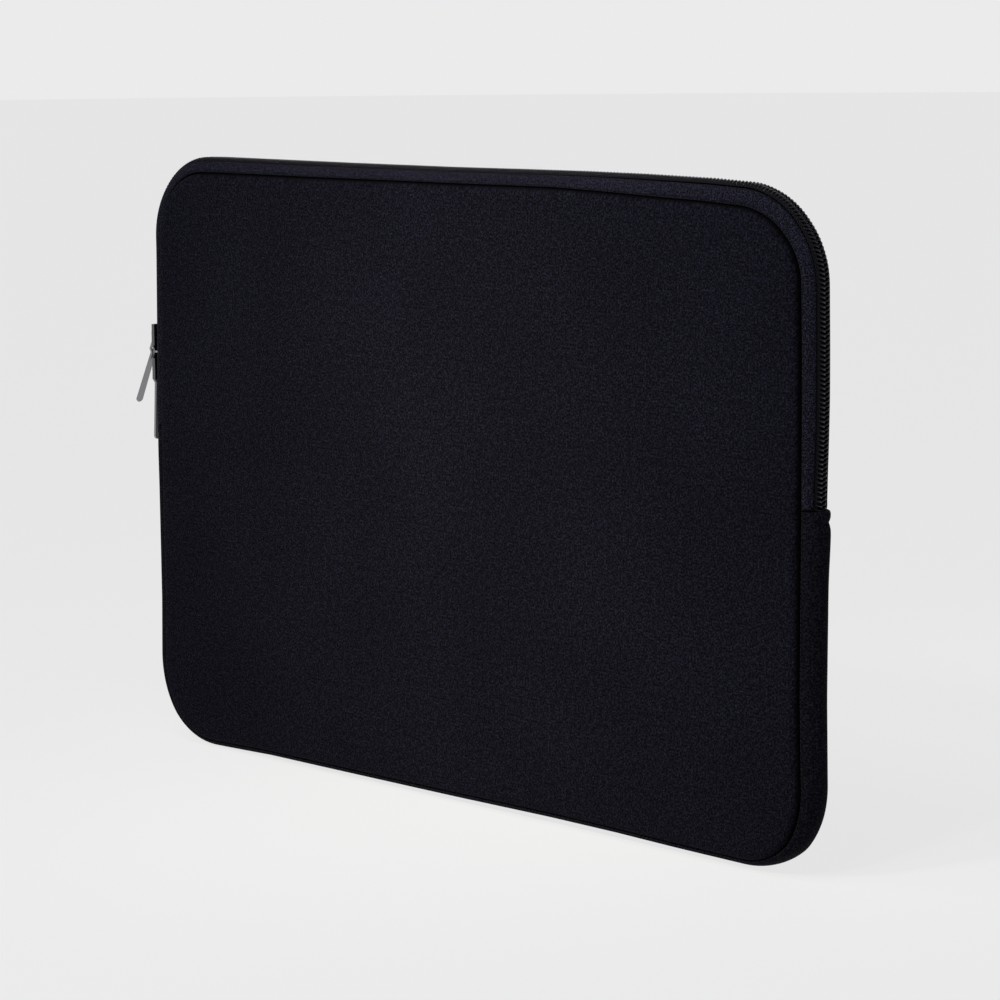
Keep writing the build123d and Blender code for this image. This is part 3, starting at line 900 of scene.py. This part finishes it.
def threadOverCoil(side):
    # the threads that sew a coil to its tape pass over every turn
    parts = []
    for out, low, wave, lead in coil["threadRows"]:
        centre = []
        for i in range(coil["threadSteps"]):
            f = i / (coil["threadSteps"] - 1) - 0.5
            height = coil["crown"] + low - wave * (0.5 + 0.5 * math.cos(math.tau * (f - lead)))
            sideways = out + coil["threadSway"] * math.sin(math.tau * f)
            centre.append((-height * mm, -side * sideways * mm, coil["pitch"] * f))
        parts.append(wirePattern("coilThread", centre, coil["thread"] * mm, sides=5, capped=False))
    points, faces = [], []
    for part in parts:
        shift = len(points)
        points += [tuple(v.co) for v in part.data.vertices]
        faces += [tuple(k + shift for k in f.vertices) for f in part.data.polygons]
    mesh = bpy.data.meshes.new("coilThread")
    mesh.from_pydata(points, [], faces)
    return bpy.data.objects.new("coilThread", mesh)


def railPath(kind, inset, depth, spacing=1.2 * mm, trim=0.0):
    # a fine line round the outline; inset is one number from the edge, or a function of place
    place, inward, along = railStations(kind, spacing, cornerSteps=40)
    total = along[-1]
    path = []
    for i in range(len(place)):
        if kind != "loop" and not trim <= along[i] <= total - trim + 1e-9:
            continue
        if callable(inset):
            u = inset(place[i], inward[i])
        else:
            u = inset + edgeShift(place[i], inward[i], True)
        p = place[i] + inward[i] * u
        path.append((p[0], -depth, p[1]))
    return path


# the back coil starts half a turn later, so that the two interlock
frontLine = railPath("upper", 0, 0, trim=coil["endTrim"])
backLine = railPath("upper", 0, 0, trim=coil["endTrim"] + coil["pitch"] / 2)
frontCoil = layAlong("frontZipCoil", frontLine, coil["pitch"], coilTurn(1), coilNylon)
backCoil = layAlong("backZipCoil", backLine, coil["pitch"], coilTurn(-1), coilNylon)
frontCoilThread = layAlong("frontCoilThread", frontLine, coil["pitch"], threadOverCoil(1), coilThread)
backCoilThread = layAlong("backCoilThread", backLine, coil["pitch"], threadOverCoil(-1), coilThread)
print("coil laid, turns:", len(frontCoil.data.polygons) // (6 * (len(coil["turn"]) - 1)))

stitch = {
    "length": 1.35 * mm, "pitch": 1.68 * mm, "thread": 0.15 * mm, "sink": 0.3, "steps": 7,
    "depth": 5.48 * mm,  # distance from the middle plane
    "besideSeam": 0.55 * mm,  # how far outside the seam, on the gusset and the bands
    "unevenness": 0.06,
    # the rows over the zip ends: distance below the end, first stitch, pitch and share of length
    "tackBelow": 4.4 * mm, "tackFirst": 0.6 * mm, "tackPitch": 2.3 * mm, "tackLength": 0.85,
    "tackSkip": 4,  # section points left free next to each seam
}


def stitchPattern():
    # a thread that dips into the cloth and thins out at both ends
    centre, radius = [], []
    for i in range(stitch["steps"]):
        f = i / (stitch["steps"] - 1)
        z = stitch["length"] * (f - 0.5)
        dip = (2 * f - 1) ** 4 * stitch["thread"] * 1.6
        centre.append((-dip, dip * 0.3, z))
        radius.append(stitch["thread"] * (1 - 0.45 * (2 * f - 1) ** 6))
    return wirePattern("stitchTurn", centre, radius)


def seamLine(place, inward):
    return seamInsetAt(place, inward) - stitch["besideSeam"]


def seamStitches(name, side, seed):
    path = railPath("loop", seamLine, side * stitch["depth"], 3 * mm)
    return layAlong(name, path, stitch["pitch"], stitchShape, seamThread,
                    stitch["unevenness"], seed, ring=True)


stitchShape = stitchPattern()
frontStitches = seamStitches("frontSeamStitches", 1, 3)
backStitches = seamStitches("backSeamStitches", -1, 5)
print("seams stitched")


def tackRow(across, pattern):
    # stitches that cross the gusset's turned end; across is 1 on the right, -1 on the left
    place = (across * halfWide, zipEnd - stitch["tackBelow"])
    inward = (-across, 0)
    section = gussetSection(place, inward)
    line = section[stitch["tackSkip"]:2 * len(skinSection) - 1 - stitch["tackSkip"]]
    points, faces = [], []
    walked, target = 0.0, stitch["tackFirst"]
    for a, b in zip(line, line[1:]):
        length = math.dist(a, b)
        while target <= walked + length:
            f = (target - walked) / length
            u = a[0] + (b[0] - a[0]) * f
            v = a[1] + (b[1] - a[1]) * f
            tangent = ((b[0] - a[0]) / length, (b[1] - a[1]) / length)
            base = len(points)
            for w in pattern.data.vertices:
                # the stitch lies along the section, its top to the outside
                out = w.co.x - stitch["thread"] * stitch["sink"]
                ahead = w.co.z * stitch["tackLength"]
                outward = out * abs(tangent[0]) if v > 0 else -out * abs(tangent[0])
                inset = u + tangent[0] * ahead - abs(tangent[1]) * out
                depth = v + tangent[1] * ahead + outward
                points.append((place[0] + inward[0] * inset, -depth, place[1] + w.co.y))
            faces += [tuple(base + k for k in f.vertices) for f in pattern.data.polygons]
            target += stitch["tackPitch"]
        walked += length
    return points, faces


tackPoints, tackFaces = [], []
for across in (-1, 1):
    points, faces = tackRow(across, stitchShape)
    shift = len(tackPoints)
    tackPoints += points
    tackFaces += [tuple(k + shift for k in f) for f in faces]
tackCloth = [(p[0], p[2]) for p in tackPoints]
zipEndStitches = meshFrom("zipEndStitches", tackPoints, tackFaces, tackCloth)
zipEndStitches.data.materials.append(seamThread)
print("zip ends tacked")


# ---- what rides on what

def overHinge(piece, *nodes):
    # a piece of the front: its modifiers applied, the parts it stands for hidden and its transform
    # baked
    applyModifiers(piece)
    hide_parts(*nodes)
    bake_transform(piece)


def onSleeve(piece, *nodes):
    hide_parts(*nodes)
    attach(piece, "sleeve")


overHinge(frontPanel, "front_knit_lower", "front_knit_flap", "front_foam_lower", "front_foam_flap")
overHinge(frontLining, "front_lining_lower", "front_lining_flap")
overHinge(frontBand, "front_band_knit", "front_band_foam")
overHinge(frontTape, "front_zip_tape")
overHinge(frontCoil, "front_zip_coil")
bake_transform(frontCoilThread)
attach(backCoilThread, "sleeve")
overHinge(frontBinding, "front_binding_lower", "front_binding_flap")
overHinge(frontStitches, "front_seam_thread_lower", "front_seam_thread_flap")
onSleeve(backPanel, "back_knit", "back_foam")
onSleeve(backLining, "back_lining")
onSleeve(backBand, "back_band_knit", "back_band_foam")
onSleeve(backTape, "back_zip_tape")
onSleeve(backCoil, "back_zip_coil")
onSleeve(backBinding, "back_binding")
onSleeve(backStitches, "back_seam_thread")
onSleeve(gusset, "gusset_knit", "gusset_foam", "gusset_lining")
onSleeve(zipEndStitches, "zip_end_tacks")

metalNodes = {
    darkNickel: ("upper_slider_body", "lower_slider_body", "upper_slider_crown", "lower_slider_crown"),
    pullNickel: ("upper_pull", "lower_pull"),
}
for finish, names in metalNodes.items():
    for name in names:
        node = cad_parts[name]
        node.data.materials.clear()
        node.data.materials.append(finish)
print("pieces ride on their bodies")


# ---- floor, light and camera

studio = {
    "wall": 0.83, "wallSide": (-0.70, 0.71, 0), "wallFrom": 0.55, "wallFull": 0.9,
    "room": (0.22, 0.22, 0.27),
    "floor": 0.10, "floorGlow": 0.75, "floorLevel": -1.1 * mm, "floorRadius": 8.0,
    "keyPower": 62, "keySpread": 23, "keyTint": (1, 0.93, 0.74), "keyRadius": 0.12,
    "keyPlace": (-0.15, -0.75, 0.75), "keyTarget": (0.01, 0, 0.11),
    "topPower": 1.25, "topTint": (0.86, 0.9, 1.0), "topSize": (0.5, 0.12),
    "topPlace": (0.0, -0.22, 0.60), "topTarget": (0.0, 0, 0.2),
    "frontPower": 1.9, "frontTint": (1, 1, 1), "frontSize": (0.08, 0.08),
    "frontPlace": (0.22, -0.62, 0.58), "frontTarget": (0.16, 0, 0.2),
    "sunPower": 0.3, "sunSpread": 50, "sunTurn": (32, -18),
}

# the wall behind is pale, while the room in front that lights the sleeve is dimmer
world = bpy.data.worlds.new("paleStudio")
bpy.context.scene.world = world
world.use_nodes = True
worldTree = world.node_tree
heading = addNode(worldTree, "ShaderNodeTexCoord")
towards = addNode(worldTree, "ShaderNodeVectorMath", operation="DOT_PRODUCT")
setInputs(towards, {1: studio["wallSide"]})
joined(worldTree, heading.outputs["Generated"], towards.inputs[0])
wallShare = addNode(worldTree, "ShaderNodeMapRange")
setInputs(wallShare, {"From Min": studio["wallFrom"], "From Max": studio["wallFull"]})
joined(worldTree, towards.outputs["Value"], wallShare.inputs["Value"])
backdrop = addNode(worldTree, "ShaderNodeMix", data_type="RGBA")
setInputs(backdrop, {"A": (*studio["room"], 1), "B": (*[studio["wall"]] * 3, 1)})
joined(worldTree, wallShare.outputs["Result"], backdrop.inputs["Factor"])
joined(worldTree, backdrop.outputs["Result"], worldTree.nodes["Background"].inputs["Color"])

floorFinish, floorTree, floorShader = newFinish("paleFloor")
setInputs(floorShader, {
    "Base Color": (*[studio["floor"]] * 3, 1), "Roughness": 0.9, "Specular IOR Level": 0.0,
    "Emission Color": (1, 1, 1, 1), "Emission Strength": studio["floorGlow"],
})
floorMesh = bpy.data.meshes.new("floor")
work = bmesh.new()
bmesh.ops.create_circle(work, cap_ends=True, segments=96, radius=studio["floorRadius"])
bmesh.ops.translate(work, verts=work.verts, vec=(0, 0, studio["floorLevel"]))
work.to_mesh(floorMesh)
work.free()
floor = bpy.data.objects.new("floor", floorMesh)
bpy.context.scene.collection.objects.link(floor)
floor.data.materials.append(floorFinish)


def addLamp(light, place, target):
    lamp = bpy.data.objects.new(light.name, light)
    lamp.location = place
    lamp.rotation_euler = (Vector(target) - Vector(place)).to_track_quat("-Z", "Y").to_euler()
    bpy.context.scene.collection.objects.link(lamp)


def softbox(which):
    light = bpy.data.lights.new(which + "Softbox", "AREA")
    light.shape = "RECTANGLE"
    light.size, light.size_y = studio[which + "Size"]
    light.energy = studio[which + "Power"]
    light.color = studio[which + "Tint"]
    addLamp(light, studio[which + "Place"], studio[which + "Target"])


key = bpy.data.lights.new("keyLight", "SPOT")
key.energy = studio["keyPower"]
key.spot_size = math.radians(studio["keySpread"])
key.spot_blend = 1
key.shadow_soft_size = studio["keyRadius"]
key.color = studio["keyTint"]
addLamp(key, studio["keyPlace"], studio["keyTarget"])
softbox("top")
softbox("front")
sun = bpy.data.lights.new("roomSoftLight", "SUN")
sun.energy = studio["sunPower"]
sun.angle = math.radians(studio["sunSpread"])
sunLamp = bpy.data.objects.new("roomSoftLight", sun)
sunLamp.rotation_euler = (*[math.radians(turn) for turn in studio["sunTurn"]], 0)
bpy.context.scene.collection.objects.link(sunLamp)

print("floor and lamps placed")

view = {
    "azimuth": 44.624, "elevation": 8.761, "roll": -0.459,  # degrees
    "distance": 1.25567, "target": (0.01973, 0.0, 0.11695), "lens": 121.54,
}
azimuth = math.radians(view["azimuth"])
elevation = math.radians(view["elevation"])
backward = Vector((
    math.sin(azimuth) * math.cos(elevation),
    -math.cos(azimuth) * math.cos(elevation),
    math.sin(elevation),
))
camera = bpy.data.objects.new("camera", bpy.data.cameras.new("camera"))
camera.data.lens = view["lens"]
camera.data.sensor_width = 36
camera.data.clip_end = 50
camera.location = Vector(view["target"]) + backward * view["distance"]
camera.rotation_euler = (-backward).to_track_quat("-Z", "Y").to_euler()
camera.rotation_euler.rotate_axis("Z", math.radians(view["roll"]))
bpy.context.scene.collection.objects.link(camera)
bpy.context.scene.camera = camera
bpy.context.scene.view_settings.view_transform = "Standard"
